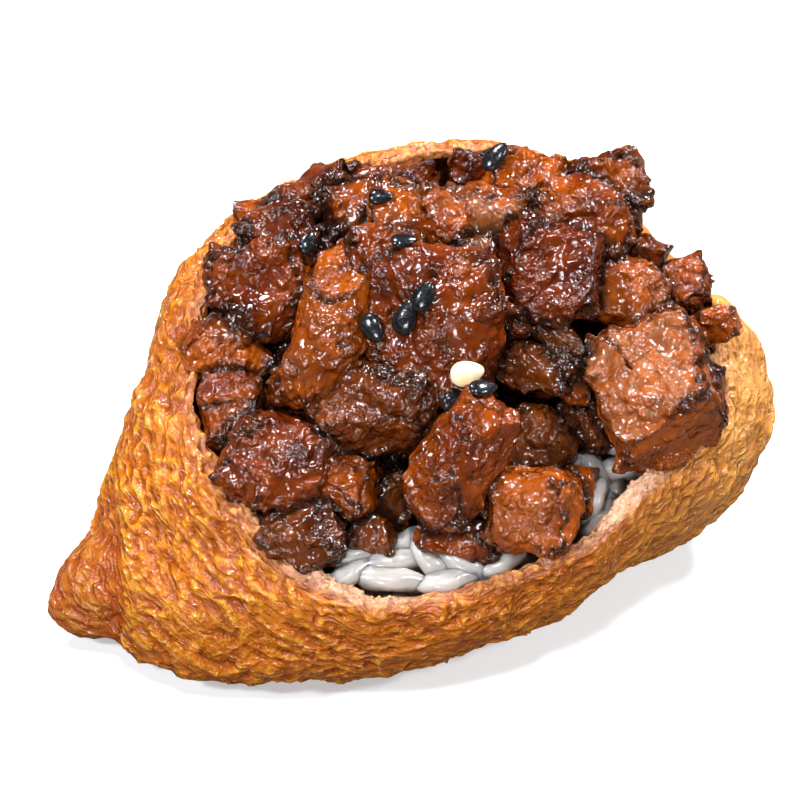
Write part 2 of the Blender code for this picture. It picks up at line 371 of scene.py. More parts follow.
def tofu_skin_material():
    material, tree, shader = new_material("tofu_skin")
    place = object_place(tree)
    grain = attribute_of(tree, "grain", "Vector")
    mottle = use_group(tree, MOTTLE, {"Place": place, "Patch": 170.0, "Speck": 900.0})
    crests = ridged_node(tree, grain, 0.75)
    relief = attribute_of(tree, "ridge")
    colour = mixed(tree, mottle["Patches"], SKIN_DEEP, SKIN_GOLD)
    # Painted light: the crests of the crinkles and the ridges of the skin are painted lighter and yellower
    # as painted highlights, and its valleys darker as painted shade.
    colour = mixed(tree, ranged(tree, crests, 0.25, 0.9), colour, SKIN_GOLD)
    colour = mixed(tree, ranged(tree, relief, 0.1, -1.6, 0.0, 0.85), colour, SKIN_DEEP)
    colour = mixed(tree, ranged(tree, relief, 0.3, 2.0, 0.0, 0.7), colour, SKIN_YELLOW)
    colour = mixed(tree, ranged(tree, crests, 0.75, 1.2, 0.0, 0.8), colour, SKIN_YELLOW)
    # Painted sheen: the right end of the outer skin is painted paler, in patches, for the light that falls
    # on it.
    paler = attribute_of(tree, "paler")
    sheen_patches = ranged(tree, mottle["Patches"], 0.0, 1.0, 0.3, 0.7)
    colour = mixed(tree, times(tree, paler, sheen_patches), colour, SKIN_PALE)
    corner = attribute_of(tree, "corner")
    colour = mixed(tree, times(tree, corner, 0.8), colour, SKIN_CORNER)
    inside = attribute_of(tree, "inside")
    colour = mixed(tree, times(tree, inside, 0.85), colour, SKIN_INSIDE)
    cut = attribute_of(tree, "cut")
    torn = ranged(tree, noise_node(tree, place, 1.6, 4.0, 0.7), 0.35, 0.6, 0.75, 1.0)
    crumb = times(tree, cut, torn)
    colour = mixed(tree, crumb, colour, SKIN_CRUMB)
    wet = use_group(
        tree, WET_RELIEF, {"Place": place, "Ripple": 1300.0, "Bead": 1800.0, "Bead Share": 0.5}
    )["Height"]
    height = plus(tree, times(tree, wet, 0.5), times(tree, crests, 0.9))
    film = bumped(tree, height, 1.0, 0.6)
    gloss = ranged(tree, noise_node(tree, place, 0.35, 3.0), 0.35, 0.65, 0.18, 0.3)
    gloss = plus(tree, gloss, times(tree, crumb, 0.25))
    feed(tree, shader, {"Base Color": colour, "Normal": film, "Roughness": gloss,
                        "Subsurface Weight": 0.12, "Subsurface Radius": (1.0, 0.4, 0.1),
                        "Subsurface Scale": 1.2 * MM})
    return material


# ---- pouch

Fold = namedtuple("Fold", "start end height width")
# Creases and ridges of the skin, each along a line over the pouch seen from above.
FOLDS = (
    Fold((-32.0, -12.5), (-30.5, -1.5), -0.9, 1.3),
    Fold((-29.5, -13.0), (-28.0, 1.0), 0.6, 1.6),
    Fold((-26.5, 3.5), (-17.5, 15.5), 0.7, 1.4),
    Fold((-23.0, 0.0), (-20.5, 9.0), -0.6, 1.3),
    Fold((-25.0, -7.0), (-16.0, -16.0), 0.6, 1.5),
    Fold((-27.5, -9.5), (-14.0, -20.0), -0.5, 1.3),
    Fold((34.0, -2.0), (36.5, 3.5), 0.9, 1.4),
    Fold((30.0, -12.0), (36.0, -7.0), -0.5, 1.4),
)


Push = namedtuple("Push", "ring spread out low")
# Where the wall stands in or out: direction round the mouth and its spread in degrees, millimetres out,
# and the height over which it does so.
PUSHES = (
    Push(5.0, 8.0, -2.2, 12.0), Push(34.0, 9.0, 3.4, 8.0), Push(95.0, 12.0, -0.8, 8.0),
    Push(150.0, 9.0, -0.8, 8.0), Push(166.0, 9.0, -1.2, 8.0), Push(189.0, 6.0, 1.3, -6.0),
    Push(189.0, 6.0, -1.3, 5.0), Push(243.0, 10.0, 0.9, -6.0), Push(297.0, 9.0, 0.8, -6.0),
)
PUSH_FADE = 6.0
# Directions round the mouth and spreads, in degrees: the end of the pouch painted paler as a painted sheen,
# for the light that falls on its wet skin there, and the two places where the cut edge shows most of its
# crumb.
PALE_END = (-8.0, 34.0)
CRUMBLY_LIP = ((232.0, 15.0), (318.0, 20.0))
CRUMBLY_ELSEWHERE = 0.12

CORNER_TIP = (-37.0, -5.5, 5.0)  # the pinched corner of the pouch, which is darker
CORNER_REACH = 8.0
LIP_SECTORS = 56  # facets of the pouch round its mouth
# Relief of the skin as height, size and seed.
SKIN_LUMP = (0.7, 7.0, 1.0)
CRINKLES = ((0.95, 2.1, 2.0), (0.75, 1.1, 3.0))
CRINKLE_WARP = (1.5, 3.2, 3.0)
BLISTER = (0.25, 1.4, 4.0)
INNER_DENTS = ((0.25, 3.0, 5.0), (0.16, 1.0, 6.0))
TORN_EDGE = ((0.5, 1.2, 7.0), (0.3, 0.5, 8.0))
TORN_WIDTH = 1.3
CUT_WIDTH = 1.8
SKIN_STRETCH = (0.6, 0.6, 1.15)  # the grain of the skin: wide round the pouch, short down its side


def ring_of(points):
    """Direction of each point from the mouth's axis, in degrees."""
    return np.degrees(np.arctan2(points[:, 1] - MOUTH_AXIS[1], points[:, 0] - MOUTH_AXIS[0]))


def radial_of(points):
    """Level unit vectors away from the mouth's axis."""
    radial = points[:, :2] - np.array(MOUTH_AXIS)
    return radial / (np.linalg.norm(radial, axis=1)[:, None] + 1e-9)


def pushed(points):
    radial, ring = radial_of(points), ring_of(points)
    for push in PUSHES:
        apart = (ring - push.ring + 180) % 360 - 180
        share = bell(apart / push.spread) * smooth_step(push.low, push.low + PUSH_FADE, points[:, 2])
        points = points + np.column_stack([radial * (push.out * share)[:, None], np.zeros(len(points))])
    return points


def distance_to_line(points, start, end):
    start, end = np.array(start), np.array(end)
    along = end - start
    share = np.clip((points[:, :2] - start) @ along / (along @ along), 0, 1)
    return np.linalg.norm(points[:, :2] - start - share[:, None] * along, axis=1)


def lip_line():
    """The top of the pouch's cut edge: the highest CAD vertex in each direction round the mouth."""
    points = points_of(NODES["pouch"].data)
    points = np.unique(np.round(points, 3), axis=0)
    sectors = np.round(ring_of(points) % 360 / 360 * LIP_SECTORS).astype(int) % LIP_SECTORS
    columns = [points[sectors == sector] for sector in range(LIP_SECTORS)]
    return np.array([column[np.argmax(column[:, 2])] for column in columns])


def along_loop(loop, steps):
    """Points on the closed polyline, `steps` between each two corners."""
    after = np.roll(loop, -1, axis=0)
    shares = np.arange(steps)[None, :, None] / steps
    return (loop[:, None, :] * (1 - shares) + after[:, None, :] * shares).reshape(-1, 3)


def distance_to_points(points, cloud):
    tree = KDTree(len(cloud))
    for index, place in enumerate(cloud):
        tree.insert(Vector(place), index)
    tree.balance()
    return np.array([tree.find(Vector(p))[2] for p in points])


def skin_relief(points, inside, from_lip):
    """How far each point of the pouch stands out of the smooth skin."""
    folds = sum(
        fold.height * bell(distance_to_line(points, fold.start, fold.end) / fold.width) for fold in FOLDS
    )
    height, size, seed = SKIN_LUMP
    lumps = height * fractal_at(points, size, 2, seed)
    reach, size, seed = CRINKLE_WARP
    warped = skin_grain(points, from_lip) + vector_noise(points, size, seed) * reach
    crinkle = sum(
        height * (0.22 - np.abs(noise_at(warped, size, seed))) for height, size, seed in CRINKLES
    )
    crinkle *= 0.55 + 0.45 * smooth_step(-0.3, 0.3, noise_at(points, 6.0, 9.0))
    height, size, seed = BLISTER
    blister = height * (0.5 - cells_at(points, size, seed))
    dents = sum(height * noise_at(points, size, seed) for height, size, seed in INNER_DENTS)
    torn = sum(height * noise_at(points, size, seed) for height, size, seed in TORN_EDGE)
    relief = (1 - inside) * (folds + lumps + crinkle + blister) + inside * dents
    return relief + bell(from_lip / TORN_WIDTH) * torn


def skin_grain(points, from_lip):
    """Places on the skin with its grain along the lip: level position and the way down from the lip."""
    return np.column_stack([points[:, :2], from_lip]) * np.array(SKIN_STRETCH)


def pouch_mesh():
    mesh = refined("pouch", "tofu_pouch", 3)
    points, normals = points_of(mesh), normals_of(mesh)
    from_lip = distance_to_points(points, along_loop(lip_line(), 8))
    facing = np.einsum("ij,ij->i", normals[:, :2], radial_of(points))
    inside = smooth_step(0.1, -0.25, facing) * smooth_step(0.3, 1.6, from_lip) * (normals[:, 2] > -0.3)
    grain = skin_grain(points, from_lip)
    above_foot = smooth_step(0.2, 2.5, points[:, 2])
    height = skin_relief(points, inside, from_lip) * above_foot
    points = pushed(points + normals * height[:, None])
    points[:, 2] = np.maximum(points[:, 2], 0.0)
    put_points(mesh, points)

    ring = ring_of(points) % 360
    crumbly = sum((bell((ring - middle) / spread) for middle, spread in CRUMBLY_LIP), CRUMBLY_ELSEWHERE)
    inner_side = smooth_step(0.9, -0.1, facing)
    cut = np.clip(1.7 * bell(from_lip / CUT_WIDTH) * crumbly * inner_side, 0, 1)
    # Painted sheen: how much of the paler colour is painted on the right end of the outer skin.
    off_end = (ring - PALE_END[0] + 180) % 360 - 180
    mark(mesh, "cut", cut)
    mark(mesh, "paler", bell(off_end / PALE_END[1]) * (1 - inside))
    mark(mesh, "strewn", cut > 0.75)
    mark(mesh, "inside", inside)
    mark(mesh, "corner", bell(np.linalg.norm(points - np.array(CORNER_TIP), axis=1) / CORNER_REACH))
    mark(mesh, "ridge", evened(ridge_heights(mesh, 5)))
    mark_vectors(mesh, "grain", grain * MM)
    return mesh


# ---- glazed meat

MEAT_RED = (0.068, 0.0042, 0.0005)
MEAT_ORANGE = (0.33, 0.062, 0.001)
MEAT_BROWN = (0.085, 0.022, 0.003)
MEAT_GLAZE = (0.022, 0.0025, 0.0006)
MEAT_DARK = (0.008, 0.003, 0.002)
MEAT_PALE = (0.27, 0.105, 0.042)


def meat_material():
    material, tree, shader = new_material("glazed_meat")
    place = object_place(tree)
    mottle = use_group(tree, MOTTLE, {"Place": place, "Patch": 260.0, "Speck": 1100.0})
    warm = attribute_of(tree, "warm")
    bright = plus(tree, times(tree, mottle["Patches"], 0.9), 0.35)
    bright = maths(tree, "MULTIPLY", bright, warm, clamp=True)
    colour = mixed(tree, bright, MEAT_RED, MEAT_ORANGE)
    brown = attribute_of(tree, "brown")
    colour = mixed(tree, brown, colour, MEAT_BROWN)
    pale = attribute_of(tree, "pale")
    fibre = ranged(tree, noise_node(tree, place, 0.9, 4.0, 0.65, 1.0), 0.38, 0.6, 0.15, 1.0)
    colour = mixed(tree, times(tree, pale, fibre), colour, MEAT_PALE)
    relief = attribute_of(tree, "ridge")
    thick = ranged(tree, noise_node(tree, place, 0.13, 3.0, 0.6, 0.8), 0.46, 0.62)
    thick = times(tree, thick, ranged(tree, warm, 0.3, 1.5, 0.85, 0.2))
    colour = mixed(tree, thick, colour, MEAT_GLAZE)
    edge = attribute_of(tree, "edge")
    charred = times(tree, edge, ranged(tree, mottle["Specks"], 0.0, 0.6, 0.35, 1.0))
    colour = mixed(tree, times(tree, charred, 0.85), colour, MEAT_DARK)
    # Darker in the valleys of each lump: partly glaze pooled there, partly painted shade.
    low = ranged(tree, relief, -0.4, -2.2)
    colour = mixed(tree, times(tree, low, 0.75), colour, MEAT_DARK)
    # Painted shade where the pieces nearly touch, partly dark sauce in those crevices; on the sauce clots
    # it darkens them throughout.
    hollow = attribute_of(tree, "hollow")
    colour = mixed(tree, hollow, colour, MEAT_DARK)
    wet = use_group(
        tree, WET_RELIEF, {"Place": place, "Ripple": 1150.0, "Bead": 2000.0, "Bead Share": 0.35}
    )["Height"]
    calm = ranged(tree, noise_node(tree, place, 0.3, 2.0), 0.44, 0.58, 0.07, 1.0)
    height = times(tree, wet, calm)
    film = bumped(tree, height, 1.0, 0.75)
    gloss = ranged(tree, noise_node(tree, place, 0.5, 3.0), 0.35, 0.65, 0.14, 0.24)
    feed(tree, shader, {"Base Color": colour, "Normal": film, "Roughness": gloss,
                        "Specular IOR Level": 0.55, "Subsurface Weight": 0.1,
                        "Subsurface Radius": (1.0, 0.35, 0.1), "Subsurface Scale": 1.5 * MM})
    return material


# One lump of a piece. shift: from the middle of its solid, to the right, up and out as the heap is
# looked at. size: across, along and deep. spin: turn of the lump in that view, in degrees. lean: how far
# its broad face tips up, in degrees. square: 2 is an egg, 8 nearly a box.
Lump = namedtuple("Lump", "shift size spin lean square warm brown pale")


def lump(shift, size, spin=0.0, lean=0.0, square=4.0, warm=0.5, brown=0.0, pale=0.0):
    return Lump(shift, size, spin, lean, square, warm, brown, pale)


LUMPS = {
    "meat_back_left": [lump((1.2, 0.6, 0), (9.4, 4.6, 5.5), 22, warm=0.25)],
    "meat_back_middle": [lump((-1.4, 0.2, 0), (9.0, 5.4, 6), -6, warm=0.3)],
    "meat_upper_left": [lump((0.4, 1.9, 0), (7.2, 5.8, 6), 12, warm=0.6)],
    "meat_left_slab": [
        lump((-0.2, -0.6, 0), (10.6, 9.6, 9), 12, warm=0.45, square=5),
        lump((1.6, 3.8, -1), (7.0, 7.0, 7), 30, warm=0.3),
    ],
    "meat_left_rib": [lump((-1.2, 0.5, 0), (4.4, 10.5, 6), 4, warm=0.3)],
    "meat_crown": [
        lump((3.0, 1.8, -1.4), (14.6, 15.0, 13), -10, warm=0.35, square=3.6),
        lump((-1.8, -6.4, -0.8), (14.0, 8.6, 11), 14, warm=0.5, brown=0.5, square=3.6),
        lump((-6.8, 1.2, -0.6), (7.0, 16.5, 9), -20, warm=1.1, square=3),
        lump((-1.5, 8.0, -0.5), (8.0, 6.5, 7), 10, warm=0.5, square=3),
    ],
    "meat_crown_left": [lump((-0.2, -0.6, 0), (6.6, 10.5, 7), -30, warm=1.0)],
    "meat_top": [
        lump((-2.2, 0.2, 0.4), (9.6, 7.6, 8), -14, warm=1.0, square=6),
        lump((4.6, 0.0, 0), (8.4, 6.4, 7), -6, warm=1.0, pale=0.9, square=5),
    ],
    "meat_centre_right": [
        lump((2.9, -4.2, 0.0), (4.8, 7.4, 6), 10, warm=0.3),
        lump((-1.5, 0.2, -0.4), (6.0, 5.6, 5), 20, warm=0.8, brown=0.7, pale=0.4),
    ],
    "meat_back": [
        lump((1.8, 0.1, 0), (9.4, 5.2, 6), -3, warm=1.0, square=4),
        lump((-3.6, 1.2, -0.6), (4.4, 3.4, 5), 5, warm=0.3),
    ],
    "meat_back_right": [lump((0.1, 0.3, 0), (6.6, 6.2, 6), 14, warm=0.8, square=7)],
    "meat_ridge": [
        lump((-2.3, 0.0, 0), (3.8, 4.4, 5), 5, warm=0.9),
        lump((2.4, -1.2, 0), (9.6, 7.0, 7), -34, warm=0.6),
    ],
    "meat_right_behind": [
        lump((-2.0, 1.1, 0), (4.8, 7.0, 6), -6, warm=0.5),
        lump((0.6, -1.8, 0), (5.0, 3.4, 4.6), -20, warm=0.5),
    ],
    "meat_dark_cube": [lump((-0.6, 0.1, 0.4), (10.8, 9.8, 10), -14, warm=0.22, square=5)],
    "meat_right_shoulder": [lump((0.4, 1.8, 0), (7.8, 7.6, 7), -10, warm=1.2, brown=0.2)],
    "meat_far_right": [lump((-0.5, -0.4, 0), (7.4, 5.4, 6.0), 22, warm=0.7, square=3)],
    "meat_right_tail": [lump((0.3, 0.8, 0), (4.6, 3.2, 3.4), 10, warm=1.4)],
    "meat_right_cube": [
        lump((0.1, 0.2, 0), (11.4, 11.8, 10.5), 22, 30, 6, warm=1.15, pale=0.85),
        lump((4.8, 0.0, -1.5), (4.4, 6.5, 6), 5, warm=0.4),
    ],
    "meat_inner_right": [lump((-0.2, 2.3, 0), (5.4, 5.8, 5), -35, warm=0.5, brown=0.8)],
    "meat_fold": [
        lump((-0.6, 0.6, 0), (8.6, 5.0, 6), -14, warm=0.7, brown=0.6),
        lump((3.4, -0.6, 0.4), (3.6, 4.8, 4), 10, warm=1.1, brown=0.3),
    ],
    "meat_twist": [lump((1.0, -0.2, -0.6), (4.0, 9.8, 5), 27, warm=0.6, brown=0.7)],
    "meat_low_right": [lump((0.7, 0.2, 0), (5.8, 6.2, 5.5), 10, warm=0.8, brown=0.8)],
    "meat_pale_shred": [lump((0.8, 0.1, 0), (6.8, 6.8, 4), -20, warm=0.9, brown=0.5, pale=0.3)],
    "meat_nugget": [
        lump((-0.8, -0.2, 0), (9.6, 8.6, 8), -8, warm=1.5, pale=0.35),
        lump((-5.2, 0.6, -0.6), (6.4, 4.6, 5), 20, warm=0.8),
    ],
    "meat_nugget_knob": [lump((0.0, -0.6, 0), (3.8, 5.2, 4), -10, warm=1.3)],
    "meat_front_slab": [lump((0.6, 1.7, 0.3), (8.6, 14.4, 8.5), -33, warm=0.55, square=3.4)],
    "meat_left_front": [
        lump((-2.3, 0.6, 0), (11.0, 9.8, 9), -10, warm=0.35, square=3.2),
        lump((3.4, -1.4, 0.3), (8.4, 6.6, 7), -6, warm=0.8, square=3),
    ],
    "meat_front_ball": [lump((0.4, 1.2, 0), (7.6, 6.6, 7), 0, warm=0.4, brown=0.6)],
    "meat_middle_low": [lump((-1.5, -1.9, 0), (6.2, 5.6, 5.5), -20, warm=0.4, brown=0.85)],
    "meat_small_low": [lump((0.6, -0.6, 0), (5.4, 3.8, 4.5), -5, warm=0.6, brown=0.6)],
    "meat_front_shred": [lump((1.5, 0.6, 0), (8.0, 4.2, 5), -8, warm=0.5)],
    "meat_left_middle": [lump((0.4, 0.8, 0), (8.8, 7.4, 8), 18, warm=1.0)],
    "meat_left_low": [lump((0.4, 0.8, 0), (7.6, 9.0, 8), 10, warm=0.5)],
    "meat_left_corner": [lump((-1.2, 2.0, 0), (4.4, 4.2, 4.4), 10, warm=1.0)],
}
SHIFT_SEEDS = (13.0, 29.0, 47.0)
FINE_LUMP = 8.0  # a lump wider than this gets the fine grid
GRIDS = {True: 52, False: 34}
# Shape of a lump: how far it bends and over what distance, as shares of its size; the flat cuts over it and
# how much of its reach each leaves; how much of what stands past a cut is taken off.
LUMP_BEND = (0.30, 1.5)
CHOPS = 4
CHOP_LEAVES = (0.74, 0.9)
CHOP_TAKES = 0.9
SHARP_EDGE = (62, 92)  # percentiles of ridge height that count as an edge


def view_axes():
    """Right, up and out, as the heap is looked at."""
    out = np.array(direction(CAMERA_AZIMUTH, CAMERA_ELEVATION))
    azimuth = math.radians(CAMERA_AZIMUTH)
    right = np.array([math.cos(azimuth), math.sin(azimuth), 0.0])
    return np.array([right, np.cross(out, right), out])


def cube_sphere(cuts):
    """Directions over a sphere, and the four-cornered faces that join them."""
    steps = np.tan(np.linspace(-math.pi / 4, math.pi / 4, cuts + 1))
    first, second = np.meshgrid(steps, steps, indexing="ij")
    sides, faces = [], []
    for axis in range(3):
        for sign in (-1, 1):
            grid = np.empty((cuts + 1, cuts + 1, 3))
            grid[..., axis] = sign
            grid[..., (axis + 1) % 3] = first * sign
            grid[..., (axis + 2) % 3] = second
            index = np.arange((cuts + 1) ** 2).reshape(cuts + 1, cuts + 1)
            index = index + len(sides) * (cuts + 1) ** 2
            quads = [index[:-1, :-1], index[1:, :-1], index[1:, 1:], index[:-1, 1:]]
            faces.append(np.stack(quads, -1).reshape(-1, 4))
            sides.append(grid.reshape(-1, 3))
    points, faces = np.concatenate(sides), np.concatenate(faces)
    _, keep, index = np.unique(np.round(points, 6), axis=0, return_index=True, return_inverse=True)
    points = points[keep]
    return points / np.linalg.norm(points, axis=1)[:, None], index.reshape(-1)[faces]


def vector_noise(points, size, seed):
    """A smooth random shift of every point."""
    return np.column_stack([noise_at(points, size, seed + shift) for shift in SHIFT_SEEDS])


def lump_mesh(node, item, seed, axes):
    low, high = (np.array(corner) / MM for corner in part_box(node))
    middle = (low + high) / 2 + np.array(item.shift) @ axes
    return shaped_lump(node, item, middle, seed, axes)


def shaped_lump(name, item, middle, seed, axes, cuts=0):
    """A rough block: a rounded box, bent, cut flat in places and then wrinkled."""
    rng = np.random.default_rng(int(seed * 100))
    ways, faces = cube_sphere(cuts or GRIDS[max(item.size) > FINE_LUMP])
    half = np.array(item.size) / 2
    across = np.linalg.norm(half) / math.sqrt(3)
    reach = (np.abs(ways) ** item.square).sum(axis=1) ** (-1 / item.square)
    points = ways * reach[:, None] * half
    bend, over = LUMP_BEND
    points += vector_noise(points, across * over, seed) * across * bend
    for _ in range(CHOPS):
        way = rng.normal(size=3)
        way /= np.linalg.norm(way)
        depth = points @ way
        limit = depth.max() * rng.uniform(*CHOP_LEAVES)
        points -= way * (np.clip(depth - limit, 0, None) * CHOP_TAKES)[:, None]
    spin, lean = math.radians(item.spin), math.radians(item.lean)
    turn = Matrix.Rotation(spin, 3, "Z") @ Matrix.Rotation(-lean, 3, "X")
    points = points @ np.array(turn).T @ axes + middle

    mesh = bpy.data.meshes.new(name)
    mesh.from_pydata(points * MM, [], faces.tolist())
    ridges = ridge_heights(mesh, 12)
    edge = smooth_step(*np.percentile(ridges, SHARP_EDGE), ridges)
    reach = min(1.0, across / 3.0)
    crumple = crumpled_at(points, 2.8, 3, seed)
    height = reach * (
        0.45 * fractal_at(points, 3.6, 2, seed)
        + (0.55 + 0.75 * edge) * (crumple - crumple.mean())
        + (0.12 + 0.55 * edge) * noise_at(points, 0.9, seed + 0.6)
    )
    points = points + normals_of(mesh) * height[:, None]
    put_points(mesh, points)
    relief = evened(ridge_heights(mesh, 6))
    facing = smoothed(normals_of(mesh), edges_of(mesh), 8)
    out = np.array(turn @ Vector((0, 0, 1))) @ axes
    share = smooth_step(0.55, 0.9, facing @ out) * (1 - edge)
    mark(mesh, "pale", item.pale * share)
    mark(mesh, "warm", np.full(len(points), item.warm))
    mark(mesh, "brown", np.full(len(points), item.brown))
    mark(mesh, "edge", smooth_step(0.25, 0.85, smoothed(edge, edges_of(mesh), 5)))
    mark(mesh, "ridge", relief)
    return mesh


def joined(name, meshes):
    """One mesh of several, with their attributes."""
    bm = bmesh.new()
    for mesh in meshes:
        bm.from_mesh(mesh)
    whole = bpy.data.meshes.new(name)
    for key in ("pale", "warm", "brown", "ridge", "edge"):
        whole.attributes.new(key, "FLOAT", "POINT")
    bm.to_mesh(whole)
    bm.free()
    return whole


def meat_mesh(node, seed, axes):
    meshes = [lump_mesh(node, item, seed + 0.37 * k, axes) for k, item in enumerate(LUMPS[node])]
    return joined(node, meshes) if len(meshes) > 1 else meshes[0]


# ---- rice

# A thing laid on the heap: where it is looked for, right and up from the aim of the view; its turn in
# that view, in degrees; its length and width.
Laid = namedtuple("Laid", "right up turn length width")

GRAIN_LENGTH = 6.6
GRAIN_WIDTH = 2.5
GRAIN_THICKNESS = 2.2
GRAIN_DENT = 0.42
CORE_INSET = 1.0
# Where rice shows beside the meat: middle x and y, half width and half depth.
BARE_RICE = ((-2.0, -21.0, 12.5, 5.0), (18.5, -16.5, 8.0, 6.5))

# The grains that show in front of the meat, as they are looked at.
TOP_GRAINS = (
    Laid(-1.3, -18.1, -8, 7.4, 2.9), Laid(-1.2, -16.8, 6, 6.8, 2.7),
    Laid(-4.3, -16.3, 15, 6.6, 2.7), Laid(-5.8, -14.8, -60, 6.0, 2.6),
    Laid(2.7, -16.4, -60, 6.8, 3.0), Laid(6.1, -16.6, -28, 6.6, 3.0),
    Laid(9.4, -16.6, 20, 5.6, 2.5), Laid(0.3, -15.4, 30, 5.6, 2.6),
    Laid(18.8, -7.5, -68, 5.8, 2.7), Laid(21.8, -7.5, 4, 5.4, 2.5),
    Laid(21.2, -5.5, -30, 5.4, 2.5), Laid(16.6, -7.0, 15, 5.6, 2.6),
    Laid(18.6, -10.8, 60, 5.4, 2.5), Laid(24.0, -5.6, 40, 5.2, 2.5),
    Laid(-7.2, -16.4, -20, 6.0, 2.6), Laid(-5.4, -17.9, 30, 6.0, 2.6), Laid(4.4, -18.2, 10, 6.0, 2.6),
    Laid(-8.6, -14.6, 40, 5.6, 2.5), Laid(19.8, -12.0, 20, 5.6, 2.5), Laid(13.4, -9.4, -40, 5.6, 2.6),
)
SAUCE_BROWN = (0.05, 0.014, 0.005)
RICE_WHITE = (0.43, 0.39, 0.365)
RICE_MILK = (0.51, 0.475, 0.45)


def rice_material():
    material, tree, shader = new_material("cooked_rice")
    place = object_place(tree)
    cloud = noise_node(tree, place, 0.35, 3.0)
    colour = mixed(tree, ranged(tree, cloud, 0.4, 0.65), RICE_WHITE, RICE_MILK)
    sauce = attribute_of(tree, "sauce")
    colour = mixed(tree, sauce, colour, SAUCE_BROWN)
    wet = use_group(
        tree, WET_RELIEF, {"Place": place, "Ripple": 450.0, "Bead": 1600.0, "Bead Share": 0.1}
    )["Height"]
    film = bumped(tree, wet, 0.35, 0.25)
    gloss = ranged(tree, cloud, 0.3, 0.7, 0.16, 0.34)
    feed(tree, shader, {"Base Color": colour, "Normal": film, "Roughness": gloss,
                        "Subsurface Weight": 0.75, "Subsurface Radius": (1.0, 0.85, 0.7),
                        "Subsurface Scale": 2.6 * MM})
    return material


def spindle_mesh(name, length, width, thickness, around, rings, blunt, bend):
    """A closed grain along X: rings of an ellipse whose size falls off towards both tips."""
    bm = bmesh.new()
    tips = [bm.verts.new((side * length / 2 * MM, 0, 0)) for side in (-1, 1)]
    loops = []
    for ring in range(1, rings):
        along = -math.cos(math.pi * ring / rings)
        swell = (1 - abs(along) ** 2) ** blunt
        lift = bend * (1 - along * along)
        loop = []
        for step in range(around):
            turn = 2 * math.pi * step / around
            place = (
                along * length / 2,
                swell * width / 2 * math.cos(turn),
                swell * thickness / 2 * math.sin(turn) + lift,
            )
            loop.append(bm.verts.new(Vector(place) * MM))
        loops.append(loop)
    for step in range(around):
        after = (step + 1) % around
        bm.faces.new((tips[0], loops[0][step], loops[0][after]))
        bm.faces.new((tips[1], loops[-1][after], loops[-1][step]))
        for here, there in zip(loops, loops[1:]):
            bm.faces.new((here[step], there[step], there[after], here[after]))
    bmesh.ops.recalc_face_normals(bm, faces=bm.faces)
    mesh = bpy.data.meshes.new(name)
    bm.to_mesh(mesh)
    bm.free()
    mesh.shade_smooth()
    return mesh


def grain_mesh():
    """A cooked grain, a little bent and dented."""
    mesh = spindle_mesh("grain_shape", GRAIN_LENGTH, GRAIN_WIDTH, GRAIN_THICKNESS, 12, 14, 0.56, 0.3)
    points = points_of(mesh)
    put_points(mesh, points + GRAIN_DENT * vector_noise(points, 1.9, 5.0))
    return mesh


def core_mesh():
    """The bed of rice drawn in, so that the grains on it end where the solid does."""
    mesh = refined("rice", "rice_core", 1)
    points = points_of(mesh) - normals_of(mesh) * CORE_INSET
    put_points(mesh, points)
    return mesh


# ---- geometry node trees

def geometry_tree(name, inputs):
    tree = bpy.data.node_groups.new(name, "GeometryNodeTree")
    tree.interface.new_socket("Geometry", in_out="INPUT", socket_type="NodeSocketGeometry")
    for socket, kind in inputs:
        tree.interface.new_socket(socket, in_out="INPUT", socket_type="NodeSocket" + kind)
    tree.interface.new_socket("Geometry", in_out="OUTPUT", socket_type="NodeSocketGeometry")
    return tree, tree.nodes.new("NodeGroupInput").outputs, tree.nodes.new("NodeGroupOutput").inputs


def finish_tree(tree, instances, given, wanted):
    solid = add_node(tree, "GeometryNodeRealizeInstances", {"Geometry": instances})
    painted = add_node(
        tree, "GeometryNodeSetMaterial", {"Geometry": solid.outputs[0], "Material": given["Material"]}
    )
    tree.links.new(painted.outputs[0], wanted["Geometry"])


